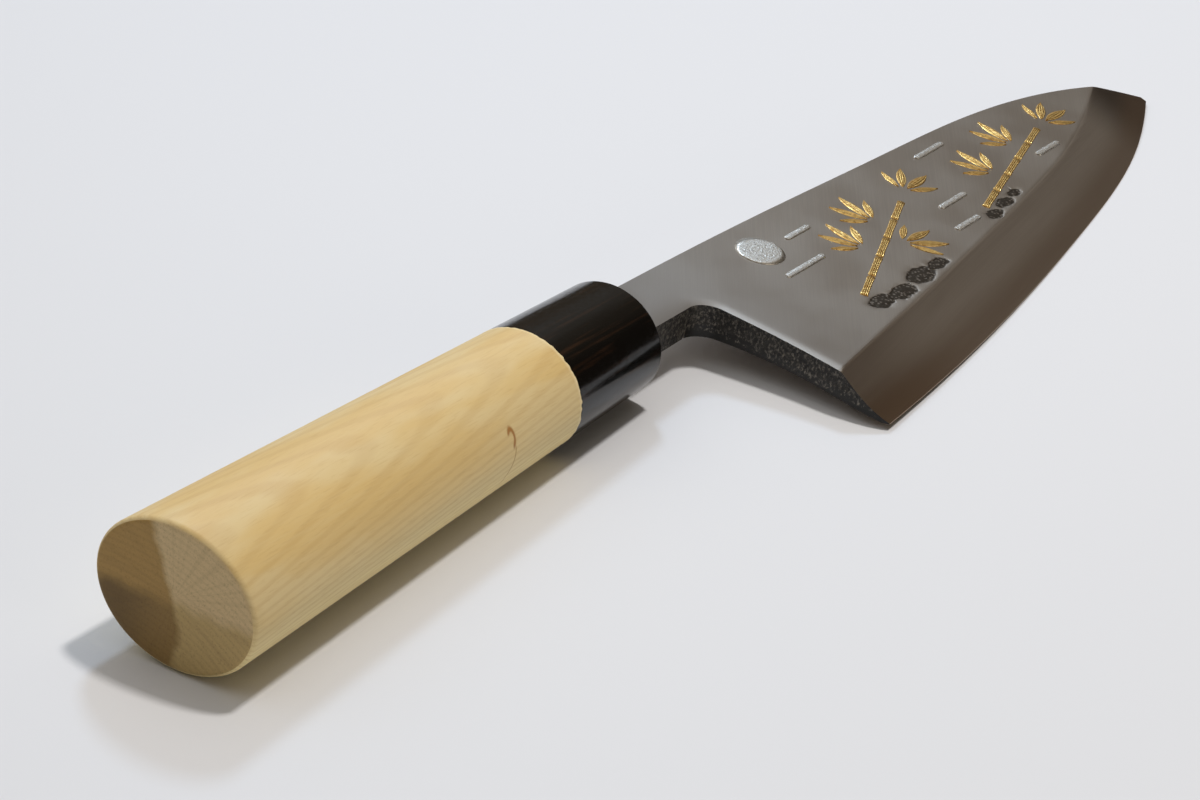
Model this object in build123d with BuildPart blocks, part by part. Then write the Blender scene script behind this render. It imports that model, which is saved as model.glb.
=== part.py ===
from build123d import *
import math
import os

# A right-handed deba, the heavy single-bevel knife for fish, lying on its hollow back
# as it lies on a table. All sizes are millimetres.
# The knife's own frame: x runs from the ferrule's front face towards the tip, y from the
# cutting edge towards the spine, z out of the ground face; the handle's axis is y = z = 0.

# Handle and ferrule: an oval that tapers towards the blade
handle_length = 137.0
ferrule_length = 30.0
butt_width = 34.4
butt_depth = 28.0
front_width = 24.4
front_depth = 22.4
butt_rim_radius = 1.2
ferrule_rim_radius = 0.5

# Tenon of the handle, glued into the ferrule
tenon_length = 23.5
tenon_width = 18.0
tenon_depth = 15.0
glue_gap = 0.1

# Blade outline: the heel is a step further from the ferrule than the neck is long, and the
# ground face is rolled over along the neck and the choil
neck_length = 22.4
neck_drop = 7.0
neck_rise = 6.4
choil_radius = 5.0
roll_width = 2.2
roll_drop = 0.8
heel_step_length = 0.4
heel_drop = 51.8
blade_run = 177.6

# The spine and the edge pass through places given as shares of the blade's run and heel drop
spine_shares = ((0.21, 0.095), (0.50, 0.045), (0.77, -0.038), (0.925, -0.205))
edge_shares = ((0.30, -0.914), (0.60, -0.760), (0.85, -0.568))
tip_drop_share = 0.359

# Blade thickness: full at the neck, less towards the tip and towards the bevel
blade_thickness = 7.7
tip_thickness_drop = 3.5
bevel_thickness_drop = 1.2
edge_thickness = 0.25

# Bevel of the ground face: place along the edge, and shares of the width and of the hollow
bevel_width = 14.1
bevel_hollow_depth = 0.45
ridge_overrun = 2.4
bevel_shares = ((0.0, 0.89, 1.0), (0.2, 1.0, 0.7), (0.45, 0.97, 0.5),
                (0.7, 0.885, 0.4), (0.9, 0.90, 0.3), (1.0, 0.88, 0.2))

# Hollow of the back, which runs out through the choil: place along the edge, and shares of
# the blade's height and of the hollow's depth
hollow_depth = 1.75
hollow_land_width = 1.8
hollow_shares = ((0.0, 0.70, 1.0), (0.3, 0.79, 0.9), (0.6, 0.60, 0.65),
                 (0.8, 0.38, 0.40), (0.93, 0.08, 0.05))

# Hard steel layer of the back, forge-welded to the soft iron
steel_thickness = 2.8
steel_root_length = 5.0

# Tang, burned into the handle, and the seal round it at the ferrule's mouth
tang_length = 96.0
tang_end_width = 5.0
tang_end_thickness = 3.0
tang_gap = 0.12
tang_end_gap = 1.5
seal_width = 0.8
seal_depth = 3.0

# Inlay let into the ground face: every piece fills its own pocket and stands a little proud
inlay_depth = 0.5
inlay_rise = 0.25
inlay_gap = 0.05

# The design's sizes and places, as shares of one length: the blade's run, or less on a blade
# that is low for its length. Turns are in degrees.
run_per_height = 3.05
leaf_length_share = 0.0507
leaf_width_share = 0.013
leaf_stand_off_share = 0.0101
leaf_turns = (-48, -18, 14, 46)
leaf_size_shares = (0.78, 1.0, 0.92, 0.70)
stem_width_share = 0.0096
stem_segment_share = 0.0484
stem_joint_share = 0.0039
moon_radius_share = 0.0293
mist_width_share = 0.0084
spray_shares = ((0.270, -0.096, 100), (0.321, -0.116, -20), (0.338, -0.070, 95),
                (0.439, -0.051, 20), (0.586, -0.099, 100), (0.676, -0.076, 95),
                (0.766, -0.068, 16))
stem_shares = ((0.169, -0.152, 20, 5), (0.495, -0.135, 14, 5))
moon_shares = (0.152, -0.022)
mist_shares = ((0.169, -0.073, 0.084), (0.231, -0.025, 0.051), (0.473, -0.101, 0.062),
               (0.563, -0.017, 0.068), (0.709, -0.107, 0.056), (0.439, -0.141, 0.056))

# Where the edge touches the table, as a share of its length, and the overrun of all cuts
touch_share = 0.717
settle_rounds = 5
overrun = 8.0

# Worked out from the sizes above
half_thickness = blade_thickness / 2
blade_height = heel_drop + neck_rise
heel = Vector(neck_length + heel_step_length, -heel_drop)
tip = Vector(heel.X + blade_run, -heel_drop * tip_drop_share)


def on_blade(run_share, drop_share):
    """A place on the blade, from shares of its run and of its heel drop."""
    return Vector(heel.X + run_share * blade_run, drop_share * heel_drop)


edge_curve = Spline(heel, *[on_blade(*shares) for shares in edge_shares], tip)
spine_curve = Spline(Vector(0, neck_rise), *[on_blade(*shares) for shares in spine_shares], tip)


# How it lies: the ferrule's front rim and one place of the edge carry it
def oval_size(x):
    """The width and the depth of the handle's oval at x."""
    share = -x / handle_length
    return (front_width * (1 - share) + butt_width * share,
            front_depth * (1 - share) + butt_depth * share)


def oval_reach(x, inset, direction):
    """The point of the handle's oval at x, drawn in by an inset, that lies farthest in a direction."""
    width, depth = oval_size(x)
    half_width = width / 2 - inset
    half_depth = depth / 2 - inset
    reach = math.hypot(half_width * direction.Y, half_depth * direction.Z)
    return Vector(x, half_width ** 2 * direction.Y / reach, half_depth ** 2 * direction.Z / reach)


touch_point = edge_curve @ touch_share - Vector(0, 0, half_thickness)
touch_direction = edge_curve % touch_share
up = Vector(0, 0, 1)
for _ in range(settle_rounds):
    up = touch_direction.cross(oval_reach(-ferrule_rim_radius, 0, -up) - touch_point).normalized()
forward = (Vector(1, 0, 0) - up * up.X).normalized()
left = up.cross(forward)
butt_reach = oval_reach(-handle_length, butt_rim_radius, -forward)
spine_side_reach = oval_reach(butt_rim_radius - handle_length, 0, left)
edge_side_reach = heel - Vector(0, 0, half_thickness)
middle_forward = (tip.dot(forward) + butt_reach.dot(forward)) / 2
middle_left = (spine_side_reach.dot(left) + edge_side_reach.dot(left)) / 2
middle = forward * middle_forward + left * middle_left + up * touch_point.dot(up)
table = Plane(origin=middle, x_dir=forward, z_dir=up)

# The knife's own plane, laid down so that the table is z = 0
knife = Plane(table.location.inverse())
lengthwise = Axis(knife.origin, knife.x_dir)


def across(x):
    """The plane square to the handle at x; its own x and y are the knife's y and z."""
    return Plane(knife.from_local_coords(Vector(x, 0, 0)), x_dir=knife.y_dir, z_dir=knife.x_dir)


# The flat of the ground face, through its three corners
flat_length = tip.X - neck_length
flat_forward = Vector(flat_length, 0, -tip_thickness_drop)
flat_up = Vector(0, blade_height, bevel_thickness_drop)
flat_normal = flat_forward.cross(flat_up)


def turned(vector):
    """A direction of the knife's frame, laid down with the knife."""
    return knife.from_local_coords(vector) - knife.origin


def flat_height(place):
    """How far the flat stands above the back at a place on the blade."""
    forward_loss = tip_thickness_drop * (place.X - neck_length) / flat_length
    down_loss = bevel_thickness_drop * (neck_rise - place.Y) / blade_height
    return blade_thickness - forward_loss - down_loss


flat_origin = Vector(heel.X, 0, flat_height(Vector(heel.X, 0)) - half_thickness)
flat = Plane(knife.from_local_coords(flat_origin), x_dir=turned(flat_forward), z_dir=turned(flat_normal))


# The blade, both layers as one, without its tang
def bevel_section(share, width_share, hollow_share, shift):
    """The waste above the bevel, square to the edge at a share of its length."""
    direction = edge_curve % share
    inward = Vector(-direction.Y, direction.X, 0)
    width = bevel_width * width_share
    place = edge_curve @ share
    shoulder = flat_height(place + inward * width)
    slope = (shoulder - edge_thickness) / width
    hollow_low = (width / 2, (shoulder + edge_thickness) / 2 - bevel_hollow_depth * hollow_share)
    beyond = (width + ridge_overrun, shoulder + ridge_overrun * slope)
    base = place + direction * shift - Vector(0, 0, half_thickness)
    plane = Plane(knife.from_local_coords(base), x_dir=turned(inward), z_dir=turned(direction))
    with BuildSketch(plane, mode=Mode.PRIVATE) as waste:
        with BuildLine():
            ThreePointArc((0, edge_thickness), hollow_low, (width, shoulder))
            Polyline((width, shoulder), beyond, (beyond[0], blade_thickness + overrun),
                     (-overrun, blade_thickness + overrun), (-overrun, edge_thickness),
                     (0, edge_thickness))
        make_face()
    return waste.sketch


def hollow_section(share, height_share, depth_share, shift):
    """The waste under the hollow back, square to the knife at a share of the edge's length."""
    place = edge_curve @ share
    low = place.Y + hollow_land_width
    high = low + blade_height * height_share
    top = (low + high) / 2, hollow_depth * depth_share - half_thickness
    with BuildSketch(across(place.X + shift), mode=Mode.PRIVATE) as waste:
        with BuildLine():
            ThreePointArc((low, -half_thickness), top, (high, -half_thickness))
            Polyline((high, -half_thickness), (high, -half_thickness - overrun),
                     (low, -half_thickness - overrun), (low, -half_thickness))
        make_face()
    return waste.sketch


with BuildPart() as blade:
    with BuildSketch(knife.offset(-half_thickness)):
        with BuildLine():
            add(spine_curve)
            add(edge_curve)
            FilletPolyline((0, -neck_drop), (neck_length, -neck_drop), heel, radius=choil_radius)
            Line((0, -neck_drop), (0, neck_rise))
        make_face()
    extrude(amount=blade_thickness)
    split(bisect_by=flat, keep=Keep.BOTTOM)
    ground_face = blade.faces().sort_by(Axis(knife.origin, knife.z_dir))[-1]
    chamfer(ground_face.edges().sort_by(lengthwise)[1:4], length=roll_width, length2=roll_drop,
            reference=ground_face)
    loft([bevel_section(*bevel_shares[0], -overrun),
          *[bevel_section(*station_shares, 0) for station_shares in bevel_shares],
          bevel_section(*bevel_shares[-1], overrun)], mode=Mode.SUBTRACT)
    loft([hollow_section(*hollow_shares[0], -overrun),
          *[hollow_section(*station_shares, 0) for station_shares in hollow_shares]],
         mode=Mode.SUBTRACT)


def steel_layer():
    """The outline of the back's hard steel, larger all round than the blade."""
    root = neck_length - steel_root_length
    with BuildSketch(knife.offset(-half_thickness), mode=Mode.PRIVATE) as layer:
        with Locations((root, -heel_drop - overrun)):
            Rectangle(tip.X + overrun - root, blade_height + 2 * overrun, align=Align.MIN)
    return layer.sketch


def tang_section(x, gap):
    """The tang's section at x, grown by a gap all round."""
    share = -x / tang_length
    width = (neck_rise + neck_drop) * (1 - share) + tang_end_width * share
    thickness = blade_thickness * (1 - share) + tang_end_thickness * share
    with BuildSketch(across(x), mode=Mode.PRIVATE) as section:
        with Locations(((neck_rise - neck_drop) / 2 * (1 - share), 0)):
            Rectangle(width + 2 * gap, thickness + 2 * gap)
    return section.sketch


tang_room = [tang_section(overrun, tang_gap), tang_section(-tang_length - tang_end_gap, tang_gap)]


# Inlay outlines, drawn a gap larger for their pockets
design_length = min(blade_run, run_per_height * blade_height)
leaf_length = leaf_length_share * design_length
leaf_width = leaf_width_share * design_length
leaf_stand_off = leaf_stand_off_share * design_length
stem_width = stem_width_share * design_length
stem_segment = stem_segment_share * design_length
stem_joint = stem_joint_share * design_length
moon_radius = moon_radius_share * design_length
mist_width = mist_width_share * design_length


def leaf(size, gap):
    """One leaf, pointed at both ends, that starts a little way from the spray's middle."""
    length = leaf_length * size + 2 * gap
    half_width = leaf_width * size / 2 + gap
    start = leaf_stand_off - gap
    with BuildSketch(mode=Mode.PRIVATE) as outline:
        with BuildLine():
            ThreePointArc((start, 0), (start + length / 2, half_width), (start + length, 0))
            ThreePointArc((start, 0), (start + length / 2, -half_width), (start + length, 0))
        make_face()
    return outline.sketch


def flat_place(x_share, y_share):
    """A place of the design on the flat, in the flat's own coordinates."""
    return Vector(x_share, y_share) * design_length


def draw_leaves(gap):
    """Every spray's leaves."""
    for x_share, y_share, turn in spray_shares:
        with Locations(flat_place(x_share, y_share)):
            for lean, size in zip(leaf_turns, leaf_size_shares):
                add(leaf(size, gap), rotation=turn + lean)


def draw_stems(gap):
    """Every culm's segments, end to end with a joint between them."""
    for x_share, y_share, turn, segments in stem_shares:
        along = Vector(1, 0).rotate(Axis.Z, turn)
        for step in range(segments):
            travel = (stem_segment + stem_joint) * step + stem_segment / 2
            with Locations(flat_place(x_share, y_share) + along * travel):
                Rectangle(stem_segment + 2 * gap, stem_width + 2 * gap, rotation=turn)


def draw_moon(gap):
    """The full moon."""
    with Locations(flat_place(*moon_shares)):
        Circle(moon_radius + gap)


def draw_mist(gap):
    """The bars of mist, each with its own length."""
    for x_share, y_share, length_share in mist_shares:
        with Locations(flat_place(x_share, y_share)):
            SlotOverall(length_share * design_length + 2 * gap, mist_width + 2 * gap)


inlays = {"leaf_inlay": draw_leaves, "stem_inlay": draw_stems,
          "moon_inlay": draw_moon, "mist_inlay": draw_mist}

# Soft iron of the blade, with the neck, the tang and the pockets for the inlay
with BuildPart() as blade_cladding:
    add(blade.part)
    extrude(steel_layer(), amount=steel_thickness, mode=Mode.SUBTRACT)
    loft([tang_section(0, 0), tang_section(-tang_length, 0)])
    for draw in inlays.values():
        with BuildSketch(flat):
            draw(inlay_gap)
        extrude(amount=-inlay_depth, mode=Mode.SUBTRACT)

# Hard steel of the back and the edge
with BuildPart() as edge_steel:
    add(blade.part)
    extrude(steel_layer(), amount=steel_thickness, mode=Mode.INTERSECT)


def oval_section(x):
    """The handle's oval at x."""
    width, depth = oval_size(x)
    with BuildSketch(across(x), mode=Mode.PRIVATE) as section:
        Ellipse(width / 2, depth / 2)
    return section.sketch


# Magnolia wood handle with its tenon
with BuildPart() as handle:
    loft([oval_section(-handle_length), oval_section(-ferrule_length)])
    fillet(handle.faces().sort_by(lengthwise)[0].edges(), radius=butt_rim_radius)
    with BuildSketch(across(-ferrule_length)):
        Ellipse(tenon_width / 2, tenon_depth / 2)
    extrude(amount=tenon_length)
    loft(tang_room, mode=Mode.SUBTRACT)

# Horn ferrule, bored for the tenon, with a mouth for the neck
with BuildPart() as ferrule:
    loft([oval_section(-ferrule_length), oval_section(0)])
    fillet(ferrule.faces().sort_by(lengthwise)[-1].edges(), radius=ferrule_rim_radius)
    with BuildSketch(across(-ferrule_length)):
        Ellipse(tenon_width / 2 + glue_gap, tenon_depth / 2 + glue_gap)
    extrude(amount=tenon_length + glue_gap, mode=Mode.SUBTRACT)
    loft(tang_room, mode=Mode.SUBTRACT)
    extrude(tang_section(0, tang_gap + seal_width), amount=-seal_depth, mode=Mode.SUBTRACT)

# Resin seal round the neck
with BuildPart() as tang_seal:
    extrude(tang_section(0, tang_gap + seal_width), amount=-seal_depth)
    loft(tang_room, mode=Mode.SUBTRACT)

os.makedirs("parts", exist_ok=True)

blade_cladding.part.label = "blade_cladding"
export_step(blade_cladding.part, "parts/blade_cladding.step")
edge_steel.part.label = "edge_steel"
export_step(edge_steel.part, "parts/edge_steel.step")
handle.part.label = "handle"
export_step(handle.part, "parts/handle.step")
ferrule.part.label = "ferrule"
export_step(ferrule.part, "parts/ferrule.step")
tang_seal.part.label = "tang_seal"
export_step(tang_seal.part, "parts/tang_seal.step")

# The inlay pieces, gold leaves and stems, silver moon and mist
for name, draw in inlays.items():
    with BuildPart() as inlay:
        with BuildSketch(flat.offset(-inlay_depth)):
            draw(0)
        extrude(amount=inlay_depth + inlay_rise)
    inlay.part.label = name
    export_step(inlay.part, f"parts/{name}.step")
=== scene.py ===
import math

import bmesh
import bpy
import numpy as np
from mathutils import Matrix, Vector, noise
from mathutils.geometry import delaunay_2d_cdt


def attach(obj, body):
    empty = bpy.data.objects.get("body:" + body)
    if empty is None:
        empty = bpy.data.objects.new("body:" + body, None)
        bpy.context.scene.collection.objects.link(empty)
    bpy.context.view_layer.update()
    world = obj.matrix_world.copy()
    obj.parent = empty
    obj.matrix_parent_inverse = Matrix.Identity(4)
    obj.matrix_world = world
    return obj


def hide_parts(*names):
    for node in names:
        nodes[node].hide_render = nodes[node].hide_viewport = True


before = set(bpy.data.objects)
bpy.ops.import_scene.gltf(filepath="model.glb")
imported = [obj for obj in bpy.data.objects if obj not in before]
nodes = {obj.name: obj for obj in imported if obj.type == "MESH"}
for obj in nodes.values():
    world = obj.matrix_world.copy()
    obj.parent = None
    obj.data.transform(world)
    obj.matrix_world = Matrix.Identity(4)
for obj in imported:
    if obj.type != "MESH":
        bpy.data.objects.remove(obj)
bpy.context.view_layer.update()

# The camera looks along the handle towards the tip, from the edge's side and a little above,
# with a long lens. It leans a few degrees, as a camera held in the hand does.
camera_place = Vector((-0.685719, -0.362617, 0.397882))
camera_right = Vector((0.539187, -0.837837, 0.085473))
camera_forward = Vector((0.764067, 0.443961, -0.468081))
camera_lens_mm = 132.15
sensor_mm = 36.0
nearest_seen = 0.05

camera_up = camera_right.cross(camera_forward)
lens_turn = Matrix((camera_right, camera_up, -camera_forward)).transposed().to_4x4()
camera = bpy.data.objects.new("camera", bpy.data.cameras.new("camera"))
camera.data.lens = camera_lens_mm
camera.data.sensor_width = sensor_mm
camera.data.clip_start = nearest_seen
camera.matrix_world = Matrix.Translation(camera_place) @ lens_turn
bpy.context.scene.collection.objects.link(camera)
bpy.context.scene.camera = camera
bpy.context.scene.view_settings.view_transform = "Standard"


# The table is a large sheet of smooth white board, matt enough that it shows no clear
# reflection. It is stage, not part of the knife.
table_size = 3.0
board_colour = "D7D9DE"
board_roughness = 0.55


def paint(hex_colour):
    """An sRGB hex colour as linear red, green, blue and alpha."""
    channels = [int(hex_colour[i:i + 2], 16) / 255 for i in (0, 2, 4)]
    return [c / 12.92 if c <= 0.04045 else ((c + 0.055) / 1.055) ** 2.4 for c in channels] + [1.0]


def add_node(tree, kind, inputs=None, **settings):
    """Adds a node with its settings, and fills its inputs with values or links."""
    made = tree.nodes.new(kind)
    for name, value in settings.items():
        setattr(made, name, value)
    for key, value in (inputs or {}).items():
        if isinstance(value, bpy.types.NodeSocket):
            tree.links.new(value, made.inputs[key])
        else:
            made.inputs[key].default_value = value
    return made


def new_material(name):
    """An empty node material, and its tree."""
    material = bpy.data.materials.new(name)
    material.use_nodes = True
    material.node_tree.nodes.clear()
    return material, material.node_tree


board, tree = new_material("white_board")
shade = add_node(tree, "ShaderNodeBsdfPrincipled", {
    "Base Color": paint(board_colour), "Roughness": board_roughness})
add_node(tree, "ShaderNodeOutputMaterial", {"Surface": shade.outputs[0]})

half = table_size / 2
table_mesh = bpy.data.meshes.new("table")
table_mesh.from_pydata([(-half, -half, 0), (half, -half, 0), (half, half, 0), (-half, half, 0)], [],
                       [(0, 1, 2, 3)])
table_mesh.materials.append(board)
table = bpy.data.objects.new("table", table_mesh)
bpy.context.scene.collection.objects.link(table)


# The room: its warm pale ceiling is brighter on the spine's side, and it is dim beyond the
# table. Its far side is what the steel and the horn mirror. A cool lamp stands beyond the
# spine's side, a warm one hangs nearly overhead, and a wide pale one fills the edge's side.
room_strength = 0.88
bright_side = (0.0, 0.42, 0.90)
far_colour = "352D25"
middle_colour = "766959"
overhead_colour = "F2F1ED"
far_height, middle_height, overhead_height = 0.16, 0.52, 0.86
cool_place, cool_size, cool_power, cool_colour = (0.574, 0.477, 0.800), 0.16, 2.9, "CBE4FF"
warm_place, warm_size, warm_power, warm_colour = (0.251, -0.104, 1.200), 0.14, 9.1, "FFF9F2"
fill_place, fill_size, fill_power, fill_colour = (-0.150, -1.100, 0.300), 0.60, 1.7, "FFF2DC"

room = bpy.data.worlds.new("room")
room.use_nodes = True
bpy.context.scene.world = room
tree = room.node_tree
tree.nodes.clear()
direction = add_node(tree, "ShaderNodeTexCoord").outputs["Generated"]
towards_ceiling = add_node(tree, "ShaderNodeVectorMath", {
    0: direction, 1: bright_side}, operation="DOT_PRODUCT").outputs["Value"]
ramp = add_node(tree, "ShaderNodeValToRGB", {"Fac": towards_ceiling})
ramp.color_ramp.elements[0].position = far_height
ramp.color_ramp.elements[0].color = paint(far_colour)
ramp.color_ramp.elements[1].position = middle_height
ramp.color_ramp.elements[1].color = paint(middle_colour)
ramp.color_ramp.elements.new(overhead_height).color = paint(overhead_colour)
glow = add_node(tree, "ShaderNodeBackground", {
    "Color": ramp.outputs["Color"], "Strength": room_strength})
add_node(tree, "ShaderNodeOutputWorld", {"Surface": glow.outputs[0]})


def hang_lamp(name, place, size, power, colour):
    """A round soft lamp that faces the knife."""
    lamp = bpy.data.objects.new(name, bpy.data.lights.new(name, "AREA"))
    lamp.data.shape = "DISK"
    lamp.data.size = size
    lamp.data.energy = power
    lamp.data.color = paint(colour)[:3]
    lamp.location = place
    lamp.rotation_euler = Vector(place).to_track_quat("Z", "Y").to_euler()
    bpy.context.scene.collection.objects.link(lamp)
    return lamp


hang_lamp("cool_lamp", cool_place, cool_size, cool_power, cool_colour)
# The warm lamp isn't mirrored, because its image would burn out the ground face from above
warm_lamp = hang_lamp("warm_lamp", warm_place, warm_size, warm_power, warm_colour)
warm_lamp.visible_glossy = False
hang_lamp("fill_lamp", fill_place, fill_size, fill_power, fill_colour)


# Handle: one piece of pale magnolia wood, shaped to an oval that is thicker towards the butt and
# sanded bare. It is bored for the tang, and its tenon is glued into the ferrule. Both are hidden,
# so this mesh leaves them out. The front edge of the wood is a little torn.
handle_length, ferrule_length = 137.0, 30.0
front_width, front_depth, butt_width, butt_depth = 24.4, 22.4, 34.4, 28.0
butt_rim, rim_rings, end_grain_on_rim = 1.2, 7, 2
front_insets, butt_insets = (6.0, 0.25), (1.6, 3.0, 6.0, 10.0)
torn_depth, torn_scale, torn_back, torn_proud = 0.40, 1.1, 0.12, 0.04
fray_length, fray_proud = 0.8, 0.02
body_start, body_rings, sides = 2.0, 50, 240
SIDE_GRAIN, END_GRAIN = range(2)
mm = 0.001
knife_origin = Vector((-31.51705, 16.97511, 11.20792)) * mm
knife_pitch, knife_roll = math.radians(1.34298), math.radians(6.25509)

# The knife's own frame: x along the handle from the ferrule's front face to the tip, y from the
# edge to the spine, z out of the ground face, in millimetres
knife_turn = Matrix.Rotation(knife_pitch, 4, "Y") @ Matrix.Rotation(knife_roll, 4, "X")
knife_frame = Matrix.Translation(knife_origin) @ knife_turn @ Matrix.Scale(mm, 4)


def oval_ring(x, inset=0.0):
    """The handle's oval at x, as a closed ring of points."""
    share = -x / handle_length
    across = (front_width + (butt_width - front_width) * share) / 2 - inset
    deep = (front_depth + (butt_depth - front_depth) * share) / 2 - inset
    turns = np.linspace(0, 2 * math.pi, sides, endpoint=False)
    return np.c_[np.full(sides, x), across * np.cos(turns), deep * np.sin(turns)]


def close_rings(name, rings, cap_paints, paints):
    """A closed body through rings of points, with a middle point at both ends."""
    count = len(rings)
    points = np.vstack([*rings, rings[0].mean(axis=0), rings[-1].mean(axis=0)])
    faces = []
    for i in range(count - 1):
        faces += [[i * sides + j, (i + 1) * sides + j, (i + 1) * sides + (j + 1) % sides,
                   i * sides + (j + 1) % sides] for j in range(sides)]
    last = (count - 1) * sides
    faces += [[count * sides, j, (j + 1) % sides] for j in range(sides)]
    faces += [[count * sides + 1, last + (j + 1) % sides, last + j] for j in range(sides)]
    mesh = bpy.data.meshes.new(name)
    mesh.from_pydata(points.tolist(), [], faces)
    ring_paints = np.repeat(paints, sides)
    mesh.polygons.foreach_set("material_index", [*ring_paints, *np.repeat(cap_paints, sides)])
    mesh.polygons.foreach_set("use_smooth", [True] * len(faces))
    mesh.transform(knife_frame)
    made = bpy.data.objects.new(name, mesh)
    bpy.context.scene.collection.objects.link(made)
    return made


rings = [oval_ring(-ferrule_length, inset) for inset in front_insets]
torn = oval_ring(-ferrule_length, -torn_proud)
for point in torn:
    point[0] += torn_depth * noise.noise(Vector(point) * torn_scale) - torn_back
rings += [torn, oval_ring(-ferrule_length - fray_length, -fray_proud)]
body_places = np.linspace(-ferrule_length - body_start, -handle_length + butt_rim, body_rings)
rings += [oval_ring(x) for x in body_places]
for turn in np.linspace(0, math.pi / 2, rim_rings)[1:]:
    back = butt_rim * (1 - math.sin(turn))
    rings.append(oval_ring(back - handle_length, butt_rim * (1 - math.cos(turn))))
side_strips = len(rings) - 1 - end_grain_on_rim
rings += [oval_ring(-handle_length, inset) for inset in butt_insets]
paints = [SIDE_GRAIN] * side_strips + [END_GRAIN] * (len(rings) - 1 - side_strips)
handle = close_rings("handle_wood", rings, (SIDE_GRAIN, END_GRAIN), paints)


def knife_coordinates(tree):
    """A point's place in the knife's own frame, in millimetres."""
    place = add_node(tree, "ShaderNodeTexCoord").outputs["Object"]
    return add_node(tree, "ShaderNodeMapping", {
        "Vector": place, "Location": knife_origin, "Rotation": knife_turn.to_euler(),
        "Scale": (mm, mm, mm)}, vector_type="TEXTURE").outputs["Vector"]


def all_of(tree, limits):
    """A mask: one where each value has passed from its first limit to its second."""
    mask = 1.0
    for value, none, full in limits:
        passed = add_node(tree, "ShaderNodeMapRange", {
            "Value": value, "From Min": none, "From Max": full}, interpolation_type="SMOOTHSTEP")
        mask = add_node(tree, "ShaderNodeMath", {0: mask, 1: passed.outputs[0]},
                        operation="MULTIPLY").outputs[0]
    return mask


def lay_colours(tree, tone, layers):
    """Lays colours over a tone. A layer is a pattern, the two values of it between which the colour
    grows from nothing to its strength, that strength, and the colour."""
    for pattern, none, full, strength, colour in layers:
        cover = add_node(tree, "ShaderNodeMapRange", {
            "Value": pattern, "From Min": none, "From Max": full, "To Max": strength},
            interpolation_type="SMOOTHSTEP")
        colour = paint(colour) if isinstance(colour, str) else colour
        tone = add_node(tree, "ShaderNodeMix", {
            "Factor": cover.outputs[0], "A": tone, "B": colour}, data_type="RGBA").outputs["Result"]
    return tone


# A pattern's lows and highs, past which a surface gets no smoother or rougher
pattern_low, pattern_high = 0.3, 0.7


def finish_surface(tree, tone, shine, relief, metal=0.0, gloss=0.5):
    """Ends a material. Shine is a pattern, and the roughness at its lows and at its highs. Relief
    is a pattern, its strength, and its depth in millimetres."""
    rough = add_node(tree, "ShaderNodeMapRange", {
        "Value": shine[0], "From Min": pattern_low, "From Max": pattern_high,
        "To Min": shine[1], "To Max": shine[2]}, interpolation_type="SMOOTHSTEP")
    bump = add_node(tree, "ShaderNodeBump", {
        "Height": relief[0], "Strength": relief[1], "Distance": relief[2] * mm})
    shade = add_node(tree, "ShaderNodeBsdfPrincipled", {
        "Base Color": tone, "Metallic": metal, "Roughness": rough.outputs[0],
        "Specular IOR Level": gloss, "Normal": bump.outputs[0]})
    add_node(tree, "ShaderNodeOutputMaterial", {"Surface": shade.outputs[0]})


# Bare sanded magnolia along the grain: a dull satin surface, cream with faint growth lines 1.1 mm
# apart, fibres 0.6 mm wide and fine darker pores, and a bright rim of torn fibres at the ferrule.
# Its underside is painted paler, lightening towards the bottom: painted light.
pale_wood, tan_wood, painted_light_low_wood, line_wood, rim_wood = "D6C08F", "D2B57A", "E8D59C", "B48F58", "EEDDB0"
ring_spacing, wave_turn = 1.1, math.pi / 10
pith_place = (0.0, 6.0, -46.0)
grain_lean = (0, math.radians(-1.6), math.radians(-0.6))
ring_stretch, fibre_size = (16.7, 1.0, 1.0), (16.7, 0.62, 0.62)
pore_size, cloud_size = (4.5, 0.33, 0.33), (28.6, 7.7, 7.7)
painted_light_reach, rim_reach = (9.0, -5.0), (-31.0, -30.2)

side_wood, tree = new_material("sanded_magnolia_wood")
place = knife_coordinates(tree)
parts = add_node(tree, "ShaderNodeSeparateXYZ", {"Vector": place}).outputs
along, sideways, up = parts["X"], parts["Y"], parts["Z"]
leaning = add_node(tree, "ShaderNodeMapping", {
    "Vector": place, "Location": pith_place, "Rotation": grain_lean, "Scale": ring_stretch},
    vector_type="TEXTURE").outputs[0]
grown = add_node(tree, "ShaderNodeTexWave", {
    "Vector": leaning, "Scale": wave_turn / ring_spacing, "Distortion": 3.0, "Detail": 3.0,
    "Detail Scale": 0.4, "Detail Roughness": 0.6}, wave_type="RINGS", rings_direction="X").outputs["Fac"]
patterns = []
for size, detail, roughness in ((fibre_size, 5.0, 0.65), (pore_size, 3.0, 0.6),
                                (cloud_size, 2.0, 0.5)):
    sized = add_node(tree, "ShaderNodeMapping", {"Vector": place, "Scale": size}, vector_type="TEXTURE")
    patterns.append(add_node(tree, "ShaderNodeTexNoise", {
        "Vector": sized.outputs[0], "Scale": 1.0, "Detail": detail,
        "Roughness": roughness}).outputs["Fac"])
fibres, pores, clouds = patterns
tone = lay_colours(tree, paint(tan_wood), (
    (clouds, 0.38, 0.64, 1.0, pale_wood),
    # Painted light: paler towards the bottom of the handle
    (up, *painted_light_reach, 1.0, painted_light_low_wood),
    (grown, 0.45, 1.0, 0.20, line_wood),
    (fibres, 0.40, 0.70, 0.30, pale_wood),
    (pores, 0.50, 0.72, 0.22, line_wood),
    (along, *rim_reach, 0.6, rim_wood)))

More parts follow.
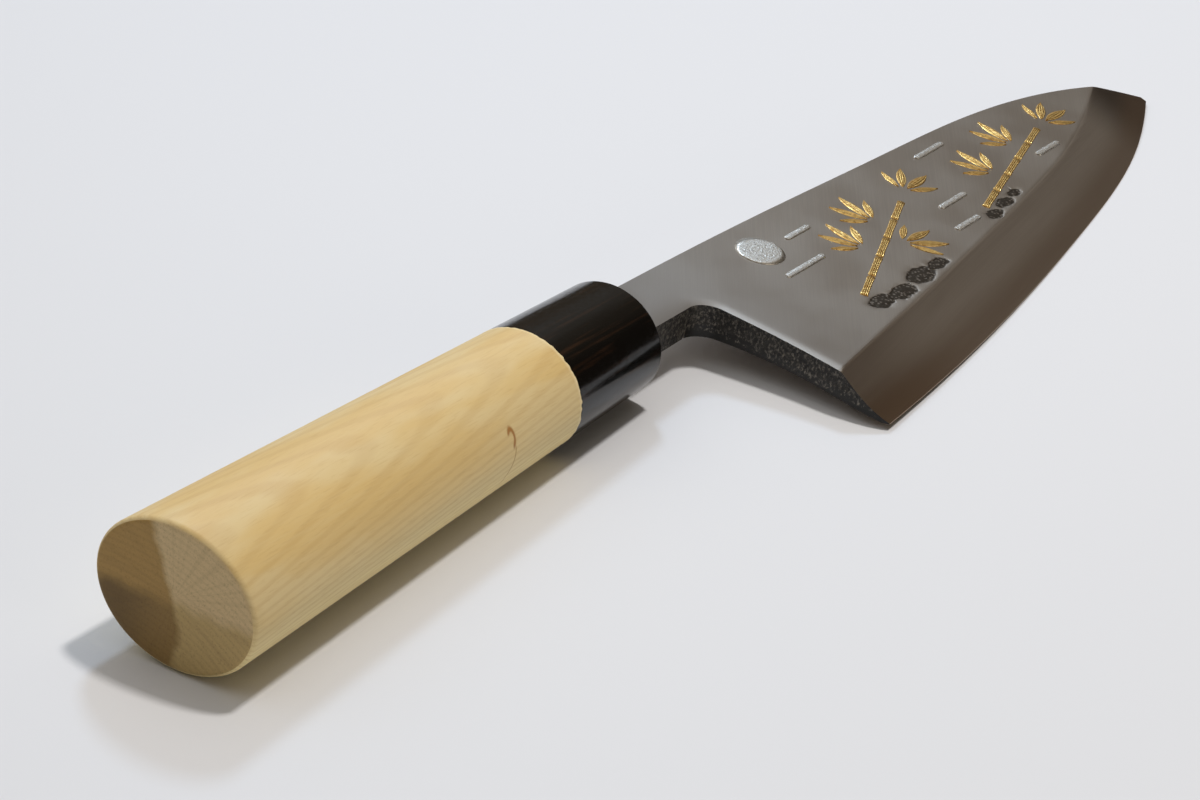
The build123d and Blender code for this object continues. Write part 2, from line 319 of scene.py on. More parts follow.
# A small knot low on the edge's side, arched and open below, and the fine line that runs down
# from it
knot_place, knot_size, knot_colour = (-54.4, -12.7, 5.0), (1.1, 2.1, 2.1), "A3733A"
knot_inner, knot_ring, knot_outer = 0.25, 0.80, 1.35
arch_lift, arch_start, arch_end = -0.7, -0.35, 0.5
line_top, line_bend, line_width = (-53.5, 3.4), -0.08, 0.3
line_foot, line_head, line_side = (-4.5, -2.5), (4.0, 2.8), (0.0, -4.0)

knot_eye = add_node(tree, "ShaderNodeMapping", {
    "Vector": place, "Location": knot_place, "Scale": knot_size}, vector_type="TEXTURE").outputs[0]
from_eye = add_node(tree, "ShaderNodeVectorMath", {0: knot_eye}, operation="LENGTH").outputs["Value"]
from_knot = add_node(tree, "ShaderNodeVectorMath", {0: place, 1: knot_place}, operation="SUBTRACT")
knot_parts = add_node(tree, "ShaderNodeSeparateXYZ", {"Vector": from_knot.outputs[0]}).outputs
lifted = add_node(tree, "ShaderNodeMath", {0: knot_parts["Z"], 1: arch_lift}, operation="ADD").outputs[0]
arch = add_node(tree, "ShaderNodeMath", {0: knot_parts["X"], 1: lifted}, operation="MAXIMUM").outputs[0]
in_knot = all_of(tree, ((from_eye, knot_inner, knot_ring), (from_eye, knot_outer, knot_ring),
                        (arch, arch_start, arch_end)))
down = add_node(tree, "ShaderNodeMath", {0: up, 1: line_top[1]}, operation="SUBTRACT").outputs[0]
bend = add_node(tree, "ShaderNodeMath", {0: down, 1: down}, operation="MULTIPLY").outputs[0]
line_x = add_node(tree, "ShaderNodeMath", {0: bend, 1: line_bend, 2: line_top[0]},
                  operation="MULTIPLY_ADD").outputs[0]
off_line = add_node(tree, "ShaderNodeMath", {0: along, 1: line_x}, operation="SUBTRACT").outputs[0]
off_line = add_node(tree, "ShaderNodeMath", {0: off_line}, operation="ABSOLUTE").outputs[0]
on_line = all_of(tree, ((off_line, line_width, 0.0), (up, *line_foot), (up, *line_head),
                        (sideways, *line_side)))
tone = lay_colours(tree, tone, (
    (in_knot, 0.0, 1.0, 1.0, knot_colour),
    (on_line, 0.0, 1.0, 1.0, line_wood)))
finish_surface(tree, tone, (fibres, 0.46, 0.60), (fibres, 0.35, 0.04))

# Sawn end grain: duller and darker than the side, with growth rings 1.3 mm apart, fine rays, and
# two or three pores to a millimetre. Its four quarters, which meet near the middle, are painted
# shade and light as on a shallowly faceted end: lightest at the upper right, darkest at the lower left.
end_right_up, end_right_low = "D6BC8C", "BFA46C"
end_left_up, end_left_low = "AE8B4C", "745A2C"
ring_brown, ray_brown, pore_brown = "5C4526", "5A4424", "4E3A20"
end_ring_spacing, end_pith_place = 1.3, (0.0, 9.0, -46.0)
quarter_edge, level_edge, quarter_wander = (-1.1, 1.1), (0.2, -2.8), 3.0
divide_slope, divide_shift, divide_least, level_slope = 0.52, 0.4, -2.1, 0.12
dark_reach, rays_per_radian = (12.0, 0.0), 7.0
wanders_per_mm, end_pores_per_mm = 0.25, 2.6

end_wood, tree = new_material("sawn_magnolia_end_grain")
place = knife_coordinates(tree)
parts = add_node(tree, "ShaderNodeSeparateXYZ", {"Vector": place}).outputs
wide, tall = parts["Y"], parts["Z"]
wander = add_node(tree, "ShaderNodeTexNoise", {
    "Vector": place, "Scale": wanders_per_mm, "Detail": 3.0}).outputs["Fac"]
shifted = add_node(tree, "ShaderNodeMath", {0: wander, 1: quarter_wander, 2: -quarter_wander / 2},
                   operation="MULTIPLY_ADD").outputs[0]
divide = add_node(tree, "ShaderNodeMath", {0: tall, 1: divide_slope, 2: divide_shift},
                  operation="MULTIPLY_ADD").outputs[0]
divide = add_node(tree, "ShaderNodeMath", {0: divide, 1: divide_least}, operation="MAXIMUM").outputs[0]
leftward = add_node(tree, "ShaderNodeMath", {0: wide, 1: divide}, operation="SUBTRACT").outputs[0]
leftward = add_node(tree, "ShaderNodeMath", {0: leftward, 1: shifted}, operation="ADD").outputs[0]
lowness = add_node(tree, "ShaderNodeMath", {0: wide, 1: level_slope, 2: tall},
                   operation="MULTIPLY_ADD").outputs[0]
lowness = add_node(tree, "ShaderNodeMath", {0: lowness, 1: shifted}, operation="ADD").outputs[0]
round_pith = add_node(tree, "ShaderNodeVectorMath", {0: place, 1: end_pith_place}, operation="SUBTRACT")
end_rings = add_node(tree, "ShaderNodeTexWave", {
    "Vector": round_pith.outputs[0], "Scale": wave_turn / end_ring_spacing, "Distortion": 3.0,
    "Detail": 3.0, "Detail Scale": 0.4}, wave_type="RINGS", rings_direction="X").outputs["Fac"]
bearing = add_node(tree, "ShaderNodeMath", {0: tall, 1: wide}, operation="ARCTAN2").outputs[0]
rays = add_node(tree, "ShaderNodeTexNoise", {"W": bearing, "Scale": rays_per_radian, "Detail": 2.0},
                noise_dimensions="1D").outputs["Fac"]
pores = add_node(tree, "ShaderNodeTexNoise", {
    "Vector": place, "Scale": end_pores_per_mm, "Detail": 3.0}).outputs["Fac"]
# Painted shade: the lower left quarter is darkest, and it lightens towards the middle
dark_side = lay_colours(tree, paint(end_left_low), ((wide, *dark_reach, 0.45, end_left_up),))
upper = lay_colours(tree, paint(end_right_up), ((leftward, *quarter_edge, 1.0, end_left_up),))
lower = lay_colours(tree, paint(end_right_low), ((leftward, *quarter_edge, 1.0, dark_side),))
tone = lay_colours(tree, upper, (
    (lowness, *level_edge, 1.0, lower),
    (end_rings, 0.45, 0.95, 0.09, ring_brown),
    (rays, 0.46, 0.66, 0.09, ray_brown),
    (pores, 0.50, 0.80, 0.30, pore_brown)))
finish_surface(tree, tone, (pores, 0.60, 0.66), (pores, 0.3, 0.04))

handle.data.materials.append(side_wood)
handle.data.materials.append(end_wood)
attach(handle, "root")
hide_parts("handle")


# Ferrule: a ring cut from black buffalo horn, bored, glued on the wood's tenon and shaped flush
# with the wood, then polished. Its front rim is only just broken.
horn_black, horn_brown = "090807", "271910"
streak_size, swell_size, wear_per_mm = (33.0, 1.1, 1.1), (20.0, 2.9, 2.9), 1.4

# Polished horn: near-black and glossy, with faint brown streaks 1 mm wide along it, and a
# surface that swells a little, so its long reflections waver
horn, tree = new_material("polished_black_horn")
place = knife_coordinates(tree)
patterns = []
for size, detail in ((streak_size, 4.0), (swell_size, 1.0)):
    sized = add_node(tree, "ShaderNodeMapping", {"Vector": place, "Scale": size}, vector_type="TEXTURE")
    patterns.append(add_node(tree, "ShaderNodeTexNoise", {
        "Vector": sized.outputs[0], "Scale": 1.0, "Detail": detail, "Roughness": 0.6}).outputs["Fac"])
streaks, swell = patterns
wear = add_node(tree, "ShaderNodeTexNoise", {
    "Vector": place, "Scale": wear_per_mm, "Detail": 4.0}).outputs["Fac"]
tone = lay_colours(tree, paint(horn_black), ((streaks, 0.50, 0.72, 1.0, horn_brown),))
finish_surface(tree, tone, (wear, 0.12, 0.20), (swell, 0.5, 0.2), gloss=0.4)
nodes["ferrule"].data.materials.clear()
nodes["ferrule"].data.materials.append(horn)


# Seal: dark resin or wax poured round the neck in the ferrule's mouth, flush with its front. It
# keeps water from the tang.
resin_colour, resin_bloom, bloom_per_mm = "1C1713", "2A241E", 3.0

# Set resin: dark brown and dull, with a faint paler bloom in spots a third of a millimetre wide
resin, tree = new_material("dark_resin")
place = knife_coordinates(tree)
grain = add_node(tree, "ShaderNodeTexNoise", {
    "Vector": place, "Scale": bloom_per_mm, "Detail": 2.0}).outputs["Fac"]
tone = lay_colours(tree, paint(resin_colour), ((grain, 0.45, 0.70, 0.5, resin_bloom),))
finish_surface(tree, tone, (grain, 0.45, 0.65), (grain, 0.3, 0.05))
nodes["tang_seal"].data.materials.clear()
nodes["tang_seal"].data.materials.append(resin)


# Blade: a bar of soft iron forge-welded to a thin layer of hard steel, drawn out to a neck and
# tang, ground flat with a wide bevel on this face and hollow on the back. Both layers' shapes
# follow from one outline and two faces.
neck_length, neck_drop, neck_rise, choil_radius = 22.4, 7.0, 6.4, 5.0
heel = (22.8, -51.8)
blade_run = 177.6
spine_shares = ((0.21, 0.095), (0.50, 0.045), (0.77, -0.038), (0.925, -0.205))
edge_shares = ((0.30, -0.914), (0.60, -0.760), (0.85, -0.568))
tip_drop_share = 0.359
thickness, tip_thinning, bevel_thinning, edge_thickness = 7.7, 3.5, 1.2, 0.25
bevel_width, bevel_hollow, ridge_rounding = 14.1, 0.45, 0.22
bevel_stations = ((0.0, 0.89, 1.0), (0.2, 1.0, 0.7), (0.45, 0.985, 0.5),
                  (0.7, 0.925, 0.4), (0.9, 0.93, 0.3), (1.0, 0.88, 0.2))
hollow_depth, hollow_land = 1.75, 1.8
hollow_stations = ((0.0, 0.70, 0.58), (0.3, 0.79, 0.85), (0.6, 0.60, 0.65),
                   (0.8, 0.38, 0.40), (0.93, 0.08, 0.05))
steel_thickness, steel_root = 2.8, 5.0
choil_bulge = ((22.4, -33.0), (21.75, -43.5), (21.95, -48.5))
roll_width, roll_drop = 2.5, 0.24
neck_roll_width, neck_roll_drop, neck_roll_fade = 5.0, 0.32, (14.0, 24.0)
tip_blunting = 3
grid_step, kept_off_share = 1.2, 0.45
crease_angle = math.radians(11)
line_samples, arc_samples, neck_samples, choil_samples, table_samples = 401, 13, 60, 130, 200
on_line_gap, join_gap, cut_gap, inside_only = 0.01, 1e-4, 1e-7, 1

half_thickness = thickness / 2
blade_height = neck_rise - heel[1]
lamination = steel_thickness - half_thickness


def smooth_line(points, count):
    """A smooth line through the points, as evenly spaced samples. Its ends bend as a parabola."""
    knots = np.array(points, float)
    travel = np.r_[0, np.cumsum(np.linalg.norm(np.diff(knots, axis=0), axis=1))]
    step = np.diff(travel)[:, None]
    rise = np.diff(knots, axis=0) / step
    last = len(knots) - 1
    system = np.eye(last + 1)
    target = np.zeros_like(knots)
    target[0] = rise[0] + (rise[0] - rise[1]) * step[0] / (step[0] + step[1])
    target[last] = rise[-1] + (rise[-1] - rise[-2]) * step[-1] / (step[-1] + step[-2])
    for i in range(1, last):
        system[i, i - 1:i + 2] = step[i, 0], 2 * (step[i - 1, 0] + step[i, 0]), step[i - 1, 0]
        target[i] = 3 * (rise[i] * step[i - 1] + rise[i - 1] * step[i])
    slope = np.linalg.solve(system, target)
    at = np.linspace(0, travel[-1], count)
    i = np.clip(np.searchsorted(travel, at, side="right") - 1, 0, last - 1)
    t = ((at - travel[i]) / step[i, 0])[:, None]
    return ((2 * t ** 3 - 3 * t ** 2 + 1) * knots[i] + (t ** 3 - 2 * t ** 2 + t) * step[i] * slope[i]
            + (3 * t ** 2 - 2 * t ** 3) * knots[i + 1] + (t ** 3 - t ** 2) * step[i] * slope[i + 1])


def table_of(stations, column):
    """Smooth lookup of one column of a table of stations: places and values."""
    samples = smooth_line([(row[0], row[column]) for row in stations], table_samples)
    return samples[:, 0], samples[:, 1]


def on_blade(shares):
    """A place on the blade, from shares of its run and of its heel drop."""
    return (heel[0] + shares[0] * blade_run, -heel[1] * shares[1])


tip = on_blade((1, -tip_drop_share))
edge_line = smooth_line([heel, *map(on_blade, edge_shares), tip], line_samples)
spine_line = smooth_line([(0, neck_rise), *map(on_blade, spine_shares), tip], line_samples)
arc_turns = np.linspace(math.pi / 2, 0, arc_samples)
arc_middle = Vector((neck_length - choil_radius, -neck_drop - choil_radius))
choil_arc = [arc_middle + choil_radius * Vector((math.cos(a), math.sin(a))) for a in arc_turns]
neck_part = np.linspace((0, -neck_drop), choil_arc[0], neck_samples)
choil_part = smooth_line([choil_arc[-1], *choil_bulge, heel], choil_samples)
choil_line = np.vstack([neck_part, choil_arc[1:-1], choil_part])


def from_line(points, line):
    """Each point's distance from a line, and its share of the way along it."""
    start, along = line[:-1], np.diff(line, axis=0)
    length = np.linalg.norm(along, axis=1)
    travel = np.r_[0, np.cumsum(length)]
    best, share = np.full(len(points), np.inf), np.zeros(len(points))
    for i, origin in enumerate(start):
        t = np.clip((points - origin) @ along[i] / length[i] ** 2, 0, 1)
        gap = np.linalg.norm(points - origin - t[:, None] * along[i], axis=1)
        nearer = gap < best
        best = np.where(nearer, gap, best)
        share = np.where(nearer, (travel[i] + t * length[i]) / travel[-1], share)
    return best, share


def flat_z(points):
    """Height of the ground face's flat."""
    forward_loss = tip_thinning * (points[:, 0] - neck_length) / (tip[0] - neck_length)
    down_loss = bevel_thinning * (neck_rise - points[:, 1]) / blade_height
    return half_thickness - forward_loss - down_loss


edge_share = np.linspace(0, 1, len(edge_line))
edge_along = np.gradient(edge_line, axis=0)
edge_along /= np.linalg.norm(edge_along, axis=1)[:, None]
edge_inward = np.c_[-edge_along[:, 1], edge_along[:, 0]]
width_at_edge = bevel_width * np.interp(edge_share, *table_of(bevel_stations, 1))
ridge_line = edge_line + edge_inward * width_at_edge[:, None]
shoulder_at_edge = flat_z(ridge_line)


def bevel_z(gap, share):
    """Height of the bevel, a little hollow, at a gap from the edge. It runs on past its ridge."""
    width = np.interp(share, edge_share, width_at_edge)
    low = edge_thickness - half_thickness
    rise = np.interp(share, edge_share, shoulder_at_edge) - low
    hollow = bevel_hollow * np.interp(share, *table_of(bevel_stations, 2))
    t = gap / width
    inside = low + rise * t - 4 * hollow * t * (1 - t)
    beyond = low + rise + (rise + 4 * hollow) * (t - 1)
    return np.where(t < 1, inside, beyond)


def ground_z(points):
    """Height of the ground face: the flat, the bevel and the rolled-over edge at the choil."""
    near, _ = from_line(points, choil_line)
    fade = np.clip((points[:, 0] - neck_roll_fade[0]) / (neck_roll_fade[1] - neck_roll_fade[0]), 0, 1)
    roll = roll_drop * np.clip(1 - near / roll_width, 0, 1) ** 2 * fade
    roll += neck_roll_drop * np.clip(1 - near / neck_roll_width, 0, 1) ** 2 * (1 - fade)
    flat, bevel = flat_z(points) - roll, bevel_z(*from_line(points, edge_line))
    meeting = np.clip((bevel - flat) / ridge_rounding / 2 + 0.5, 0, 1)
    return bevel + (flat - bevel) * meeting - ridge_rounding * meeting * (1 - meeting)


def back_z(points):
    """Height of the back, with its hollow, which runs out through the choil."""
    stations = [(np.interp(share, edge_share, edge_line[:, 0]), width, deep)
                for share, width, deep in hollow_stations]
    low = np.interp(points[:, 0], edge_line[:, 0], edge_line[:, 1]) + hollow_land
    high = low + blade_height * np.interp(points[:, 0], *table_of(stations, 1))
    depth = hollow_depth * np.interp(points[:, 0], *table_of(stations, 2))
    t = np.clip((points[:, 1] - low) / (high - low), 0, 1)
    ends = (points[:, 0] < stations[-1][0]) & (points[:, 0] > neck_length - choil_radius)
    return 4 * depth * t * (1 - t) * ends - half_thickness


def fill_plan(outline, creases, spots):
    """Triangles that fill an outline and meet along the creases. The outline's points come first."""
    points = np.vstack([outline, *creases, spots])
    joins = [(i, (i + 1) % len(outline)) for i in range(len(outline))]
    first = len(outline)
    for crease in creases:
        joins += [(first + i, first + i + 1) for i in range(len(crease) - 1)]
        first += len(crease)
    found, _, faces, origins, _, _ = delaunay_2d_cdt(
        [Vector(p) for p in points], joins, [list(range(len(outline)))], inside_only, cut_gap)
    place = {given: i for i, group in enumerate(origins) for given in group}
    order = [place[i] for i in range(len(outline))]
    order += sorted({i for face in faces for i in face} - set(order))
    new_index = {old: new for new, old in enumerate(order)}
    return np.array([found[i] for i in order]), [[new_index[i] for i in face] for face in faces]


def grid_spots(outline, creases, step):
    """Grid points over an outline's box, kept off its lines."""
    low, high = outline.min(axis=0), outline.max(axis=0)
    columns, rows = np.meshgrid(np.arange(low[0], high[0], step), np.arange(low[1], high[1], step))
    spots = np.c_[columns.ravel(), rows.ravel()]
    keep = np.ones(len(spots), bool)
    for line in (np.vstack([outline, outline[:1]]), *creases):
        keep &= from_line(spots, line)[0] > step * kept_off_share
    return spots[keep]


def trimmed(line, outline, margin):
    """A line's part that lies inside the outline and keeps a margin from it."""
    gap, _ = from_line(line, np.vstack([outline, outline[:1]]))
    x, y = line.T
    inside = np.zeros(len(line), bool)
    for (ax, ay), (bx, by) in zip(outline, np.roll(outline, -1, axis=0)):
        if ay != by:
            inside ^= ((ay > y) != (by > y)) & (x < ax + (y - ay) * (bx - ax) / (by - ay))
    return line[inside & (gap > margin)]


def wall_paint(outline, at_choil, at_edge, at_spine):
    """The finish of each stretch of the side wall."""
    middle = (outline + np.roll(outline, -1, axis=0)) / 2
    by_choil = from_line(middle, choil_line)[0] < on_line_gap
    by_edge = from_line(middle, edge_line)[0] < on_line_gap
    return np.where(by_choil, at_choil, np.where(by_edge, at_edge, at_spine))


def close_plate(name, top, top_faces, low, low_faces, rim, paints):
    """A closed plate between two surfaces that share the outline's first points."""
    shift = len(top)
    points = np.vstack([top, low])
    faces = [list(face) for face in top_faces]
    faces += [[shift + i for i in reversed(face)] for face in low_faces]
    faces += [[i, shift + i, shift + (i + 1) % rim, (i + 1) % rim] for i in range(rim)]
    mesh = bpy.data.meshes.new(name)
    mesh.from_pydata(points.tolist(), [], faces)
    mesh.polygons.foreach_set("material_index", paints)
    mesh.polygons.foreach_set("use_smooth", [True] * len(faces))
    flat_points = points[:, :2]
    for attribute, values in (("from_edge", from_line(flat_points, edge_line)[0]),
                              ("engraved", in_stone(flat_points)[0])):
        mesh.attributes.new(attribute, "FLOAT", "POINT").data.foreach_set("value", values)
    shape = bmesh.new()
    shape.from_mesh(mesh)
    bmesh.ops.remove_doubles(shape, verts=shape.verts, dist=join_gap)
    bmesh.ops.dissolve_degenerate(shape, edges=shape.edges, dist=join_gap)
    for edge in shape.edges:
        edge.smooth = len(edge.link_faces) == 2 and edge.calc_face_angle(0) < crease_angle
    shape.to_mesh(mesh)
    shape.free()
    mesh.transform(knife_frame)
    made = bpy.data.objects.new(name, mesh)
    bpy.context.scene.collection.objects.link(made)
    return made


# Soft iron: the body of the blade, with the neck and tang, forged from one bar and ground satin
# on the flat and finer on the bevel, with black forge scale left in the choil and under the neck.
# It carries the inlay. This mesh ends at the ferrule, because the tang is hidden in the handle.
flat_colour, flat_light, neck_shade = "B0A69B", "B7ADA1", "A09890"
bevel_colour, bevel_light, edge_shade, tip_shade = "C8BEB3", "CFC5B9", "927B66", "6E6359"
stone_dark, stone_rubbed = "4B433A", "A3978A"
scale_colour, scale_grey, scale_speck = "1B1917", "34312D", "787269"
FLAT, BEVEL, FORGED, SPINE, HIDDEN = range(5)

# Engraved ground at the foot of each bamboo culm: low rounded stones, cut a little below the
# flat and punched all over. Places and sizes are shares of the design's length.
design_length = 177.5
stone_shares = ((0.176, -0.172, 0.024, 0.014), (0.220, -0.176, 0.030, 0.013),
                (0.272, -0.170, 0.033, 0.016), (0.316, -0.168, 0.021, 0.010),
                (0.490, -0.150, 0.020, 0.010), (0.528, -0.143, 0.020, 0.009),
                (0.562, -0.138, 0.014, 0.007))
stone_depth, stone_dome, stone_steepness = 0.16, 0.7, 4
stone_wobble, wobble_size, wobble_reach = 0.22, 2, 2
punch_depth, punch_step, punch_seed = 0.06, 0.4, 7
punches = np.random.default_rng(punch_seed)


def in_stone(points):
    """How far a point lies inside an engraved stone, from nought outside to one, and its relief."""
    inside, relief = np.zeros(len(points)), np.zeros(len(points))
    for x_share, y_share, long_share, wide_share in stone_shares:
        middle = np.array([heel[0] + x_share * design_length, y_share * design_length])
        half_size = np.array([long_share, wide_share]) * design_length
        reach = np.linalg.norm((points - middle) / half_size, axis=1)
        close = reach < wobble_reach
        wobble = [noise.noise(Vector((x / wobble_size, y / wobble_size, x_share)))
                  for x, y in points[close]]
        reach[close] += stone_wobble * np.array(wobble)
        depth = np.clip((1 - reach) * stone_steepness, 0, 1)
        dome = np.clip(1 - reach ** 2, 0, 1)
        relief = np.where(depth > 0, stone_depth * depth * (1 - stone_dome * dome), relief)
        inside = np.maximum(inside, depth)
    return inside, relief


# The weld's line on the bevel, and lines of extra points where the face bends: along the
# rolled-over edge and along the ridge
weld_samples, weld_margin = 200, 0.02
roll_offsets = (0.2, 0.4, 0.65, 0.95, 1.3, 1.7, 2.4, 3.4, 4.5)
roll_start, roll_spread, roll_end, roll_neck_samples, roll_choil_samples = 0.05, 0.4, 13.0, 40, 90
ridge_offsets, ridge_margin = (-0.9, -0.45, -0.15, 0.15, 0.45, 0.9), 0.25

share_fill = np.linspace(0, 1, weld_samples)
weld_share = []
for share, width in zip(edge_share, width_at_edge):
    heights = bevel_z(width * share_fill, np.full(weld_samples, share))
    weld_share.append(np.interp(lamination, heights, share_fill))
weld_line = edge_line + edge_inward * (width_at_edge * weld_share)[:, None]

whole = np.vstack([spine_line[::-1][tip_blunting:], neck_part, choil_arc[1:-1], choil_part,
                   edge_line[1:-tip_blunting]])
weld_inside = trimmed(weld_line, whole, weld_margin)
roll_rings = []
for offset in roll_offsets:
    reach = choil_radius + offset
    inner = [arc_middle + reach * Vector((math.cos(a), math.sin(a))) for a in arc_turns]
    foot = (neck_length + offset + roll_spread, heel[1] + roll_end)
    roll_rings.append(np.vstack([
        np.linspace((roll_start, offset - neck_drop), inner[0], roll_neck_samples), inner[1:-1],
        np.linspace(inner[-1], foot, roll_choil_samples)]))
ridge_rings = []
for offset in ridge_offsets:
    ring = edge_line + edge_inward * (width_at_edge + offset)[:, None]
    ridge_rings.append(trimmed(ring, whole, ridge_margin))

spine_end = np.argmin(np.linalg.norm(spine_line - weld_inside[-1], axis=1))
choil_end = np.argmin(np.linalg.norm(choil_line - weld_inside[0], axis=1))
iron_outline = np.vstack([spine_line[:spine_end + 1][::-1], choil_line[:choil_end + 1], weld_inside])
fine_spots = grid_spots(whole, [], punch_step)
fine_spots = fine_spots[in_stone(fine_spots)[0] > 0]
spots = np.vstack([grid_spots(iron_outline, roll_rings + ridge_rings, grid_step), *roll_rings,
                   *ridge_rings, fine_spots])
plan, faces = fill_plan(iron_outline, [], spots)
inside, relief = in_stone(plan)
punched = punch_depth * inside * punches.random(len(plan))
top_z = np.maximum(ground_z(plan) - relief - punched, lamination)
top_z[len(iron_outline) - len(weld_inside):len(iron_outline)] = lamination
low_z = np.where(plan[:, 0] < neck_length - steel_root, -half_thickness, lamination)
centre = np.array([plan[face].mean(axis=0) for face in faces])
centre_gap, centre_share = from_line(centre, edge_line)
on_bevel = centre_gap < np.interp(centre_share, edge_share, width_at_edge)
paints = [*np.where(on_bevel, BEVEL, FLAT), *[HIDDEN] * len(faces),
          *wall_paint(iron_outline, FORGED, BEVEL, SPINE)]
iron = close_plate("soft_iron", np.c_[plan, top_z], faces, np.c_[plan, low_z], faces,
                   len(iron_outline), paints)

# Satin flat: brushed-looking grey iron with fine scratches 0.2 mm apart, slantwise across the
# blade, painted a little darker towards the neck as painted shade in its reflection, and dark
# stones with a rubbed spot between their punch marks every 0.8 mm
scratch_turn, scratch_size = math.radians(33), (20.0, 0.2, 1.0)
haze_per_mm, rubbed_per_mm, neck_shade_reach = 0.06, 1.3, (65.0, 0.0)

satin, tree = new_material("satin_ground_iron")
place = knife_coordinates(tree)
forward = add_node(tree, "ShaderNodeSeparateXYZ", {"Vector": place}).outputs["X"]
scratch_place = add_node(tree, "ShaderNodeMapping", {
    "Vector": place, "Rotation": (0, 0, scratch_turn), "Scale": scratch_size}, vector_type="TEXTURE")
scratches = add_node(tree, "ShaderNodeTexNoise", {
    "Vector": scratch_place.outputs[0], "Scale": 1.0, "Detail": 4.0, "Roughness": 0.7}).outputs["Fac"]
haze = add_node(tree, "ShaderNodeTexNoise", {
    "Vector": place, "Scale": haze_per_mm, "Detail": 3.0}).outputs["Fac"]
dots = add_node(tree, "ShaderNodeTexVoronoi", {
    "Vector": place, "Scale": rubbed_per_mm}).outputs["Distance"]
engraved = add_node(tree, "ShaderNodeAttribute", attribute_name="engraved").outputs["Fac"]
in_stones = all_of(tree, ((engraved, 0.15, 0.75),))
stone_tone = lay_colours(tree, paint(stone_dark), ((dots, 0.50, 0.12, 0.8, stone_rubbed),))
tone = lay_colours(tree, paint(flat_colour), (
    (scratches, 0.35, 0.65, 1.0, flat_light),
    # Painted shade: darker towards the neck
    (forward, *neck_shade_reach, 0.9, neck_shade),
    (in_stones, 0.0, 1.0, 1.0, stone_tone)))
dulled = add_node(tree, "ShaderNodeMath", {0: haze, 1: in_stones}, operation="ADD").outputs[0]
finish_surface(tree, tone, (dulled, 0.36, 0.43), (scratches, 0.12, 0.02), metal=1.0)

# Stone-ground bevel: smoother and brighter, with strokes 0.3 mm apart nearly along the edge, a
# brown painted shade that deepens to the edge and the heel, and darker painted shade towards the tip
stroke_turn, stroke_size = math.radians(8), (25.0, 0.33, 1.0)
edge_shade_width, edge_shade_run = (11.0, 0.5), (80.0, 22.0)
heel_reach, tip_shade_reach = (60.0, 24.0), (168.0, 190.0)

stoned, tree = new_material("stone_ground_bevel")
place = knife_coordinates(tree)
forward = add_node(tree, "ShaderNodeSeparateXYZ", {"Vector": place}).outputs["X"]
stroke_place = add_node(tree, "ShaderNodeMapping", {
    "Vector": place, "Rotation": (0, 0, stroke_turn), "Scale": stroke_size}, vector_type="TEXTURE")
strokes = add_node(tree, "ShaderNodeTexNoise", {
    "Vector": stroke_place.outputs[0], "Scale": 1.0, "Detail": 4.0, "Roughness": 0.7}).outputs["Fac"]
edge_gap = add_node(tree, "ShaderNodeAttribute", attribute_name="from_edge").outputs["Fac"]
by_edge = all_of(tree, ((edge_gap, *edge_shade_width),))
by_heel = all_of(tree, ((edge_gap, *edge_shade_width), (forward, *edge_shade_run)))
tone = lay_colours(tree, paint(bevel_colour), (
    (strokes, 0.35, 0.65, 0.7, bevel_light),
    # Painted shade: browner towards the heel and the edge, darker towards the tip
    (forward, *heel_reach, 0.35, edge_shade),
    (forward, *tip_shade_reach, 1.0, tip_shade),
    (by_edge, 0.0, 1.0, 0.65, edge_shade),
    (by_heel, 0.0, 1.0, 0.9, edge_shade)))
finish_surface(tree, tone, (strokes, 0.39, 0.43), (strokes, 0.03, 0.02), metal=1.0)

# Forge scale: a near-black rough oxide crust, mottled every 1.7 mm, with pale specks 0.6 mm wide
# where it is rubbed bare
speck_size, mottles_per_mm, crust_per_mm = (0.6, 0.6, 0.85), 0.6, 2.2
speck_low, speck_high = 0.48, 0.68

scale, tree = new_material("black_forge_scale")
place = knife_coordinates(tree)
speck_place = add_node(tree, "ShaderNodeMapping", {"Vector": place, "Scale": speck_size},
                       vector_type="TEXTURE")
specks = add_node(tree, "ShaderNodeTexNoise", {
    "Vector": speck_place.outputs[0], "Scale": 1.0, "Detail": 5.0, "Roughness": 0.72}).outputs["Fac"]
mottle = add_node(tree, "ShaderNodeTexNoise", {
    "Vector": place, "Scale": mottles_per_mm, "Detail": 4.0}).outputs["Fac"]
crust = add_node(tree, "ShaderNodeTexNoise", {
    "Vector": place, "Scale": crust_per_mm, "Detail": 5.0}).outputs["Fac"]
tone = lay_colours(tree, paint(scale_colour), (
    (mottle, 0.42, 0.66, 0.7, scale_grey),
    (specks, speck_low, speck_high, 1.0, scale_speck)))
finish_surface(tree, tone, (crust, 0.42, 0.70), (crust, 0.8, 0.25), metal=0.25)

for finish in (satin, stoned, scale, satin, satin):
    iron.data.materials.append(finish)
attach(iron, "root")
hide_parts("blade_cladding")


# Hard steel: the thin layer of the back, forge-welded under the iron and ground to the edge. It
# shows as the hollow back, the strip along the edge and a smoother band low on the choil.
steel_band_colour = "12110F"
BEVEL_STRIP, HOLLOW, BAND, STEEL_SPINE = range(4)

